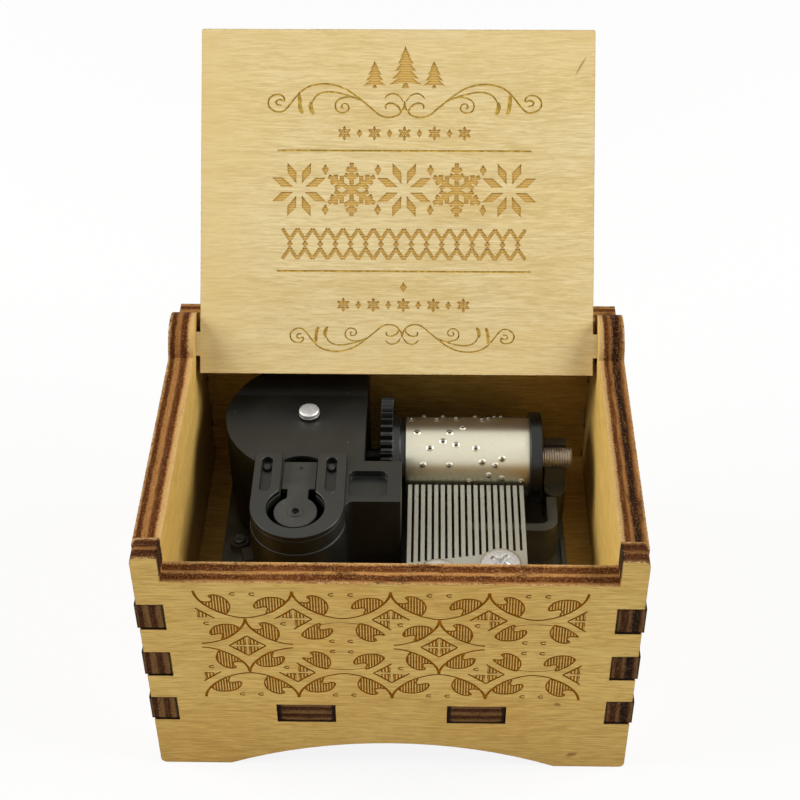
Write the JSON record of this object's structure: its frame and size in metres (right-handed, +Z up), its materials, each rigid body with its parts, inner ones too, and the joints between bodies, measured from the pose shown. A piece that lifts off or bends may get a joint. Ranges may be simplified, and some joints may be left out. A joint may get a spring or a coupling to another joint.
{
  "type": "wooden music box",
  "caption": "Small open laser-cut wooden box with a hinged lid and a wind-up comb music movement inside, turned by a key under its floor.",
  "frame": {"origin": "on the table, under the middle of the box's outline with the lid open as in the picture", "axes": "+X to the right seen from the front, +Y to the back where the lid leans, +Z up"},
  "size_m": [0.0632, 0.0738, 0.0723],
  "materials": {
    "wood_case": "laser-cut birch or basswood plywood, pale, with dark burnt edges",
    "wood_lid": "laser-cut plywood, pale, engraved on its inner face",
    "cast_black": "black die-cast base, satin",
    "plastic_black": "moulded black plastic, satin",
    "plastic_grey": "moulded dark grey plastic, satin",
    "plastic_gear": "moulded black plastic gear",
    "comb_steel": "ground steel, fine scratches",
    "lead": "dull lead",
    "screw_bright": "bright zinc-plated steel",
    "screw_dull": "dull steel thread",
    "spring_steel": "blued spring steel",
    "brass_wheel": "plain brass",
    "key_nickel": "nickel-plated steel",
    "drum_nickel": "satin nickel plating, warm"
  },
  "bodies": {
    "case": {"front_panel": "wood_case", "back_panel": "wood_case", "left_panel": "wood_case", "right_panel": "wood_case", "floor_panel": "wood_case", "movement_frame": "cast_black", "gear_cover": "plastic_black", "governor_cover": "plastic_black", "cover_studs": "plastic_black", "governor_bearing": "plastic_grey", "comb": "comb_steel", "comb_weights": "lead", "comb_screws": "screw_bright", "mounting_screws": "screw_bright", "flange_screw": "screw_bright", "pivot_screw": "screw_dull", "spring_barrel": "plastic_black", "mainspring": "spring_steel", "wheel_pin": "screw_bright"},
    "lid": {"lid": "wood_lid"},
    "drum": {"drum_shell": "drum_nickel", "drum_gear": "plastic_gear", "drum_flange": "plastic_gear", "drum_arbor": "screw_bright"},
    "drive": {"drive_gear": "plastic_grey", "ratchet_click": "spring_steel"},
    "winding": {"winding_arbor": "screw_bright", "ratchet_wheel": "brass_wheel", "arbor_cap": "screw_bright", "winding_key": "key_nickel"},
    "middle": {"middle_wheel": "plastic_grey"},
    "governor": {"governor_spindle": "plastic_grey", "governor_rotor": "plastic_grey"}
  },
  "joints": [
    {"name": "lid_hinge", "type": "hinge", "parent": "case", "child": "lid", "pos_m": [0, 0.0071, 0.03745], "axis": [-1, 0, 0], "range_deg": [-130.2, 13.8]},
    {"name": "drum_spin", "type": "hinge", "parent": "case", "child": "drum", "pos_m": [0, -0.0006, 0.0233], "axis": [1, 0, 0], "continuous": true},
    {"name": "drive_spin", "type": "hinge", "parent": "case", "child": "drive", "pos_m": [-0.0121, -0.0006, 0.0145], "axis": [0, 0, 1], "continuous": true},
    {"name": "key_turn", "type": "hinge", "parent": "drive", "child": "winding", "pos_m": [-0.0121, -0.0006, 0.0145], "axis": [0, 0, 1], "continuous": true},
    {"name": "middle_spin", "type": "hinge", "parent": "case", "child": "middle", "pos_m": [-0.01257, -0.01339, 0.0155], "axis": [0, 0, 1], "continuous": true},
    {"name": "governor_spin", "type": "hinge", "parent": "case", "child": "governor", "pos_m": [-0.0128, -0.01979, 0.022], "axis": [0, 0, 1], "continuous": true}
  ],
  "couplings": [
    {"joint": "drive_spin", "follows": "drum_spin", "ratio": 0.74074},
    {"joint": "middle_spin", "follows": "drum_spin", "ratio": -4},
    {"joint": "governor_spin", "follows": "drum_spin", "ratio": 6.6667}
  ]
}
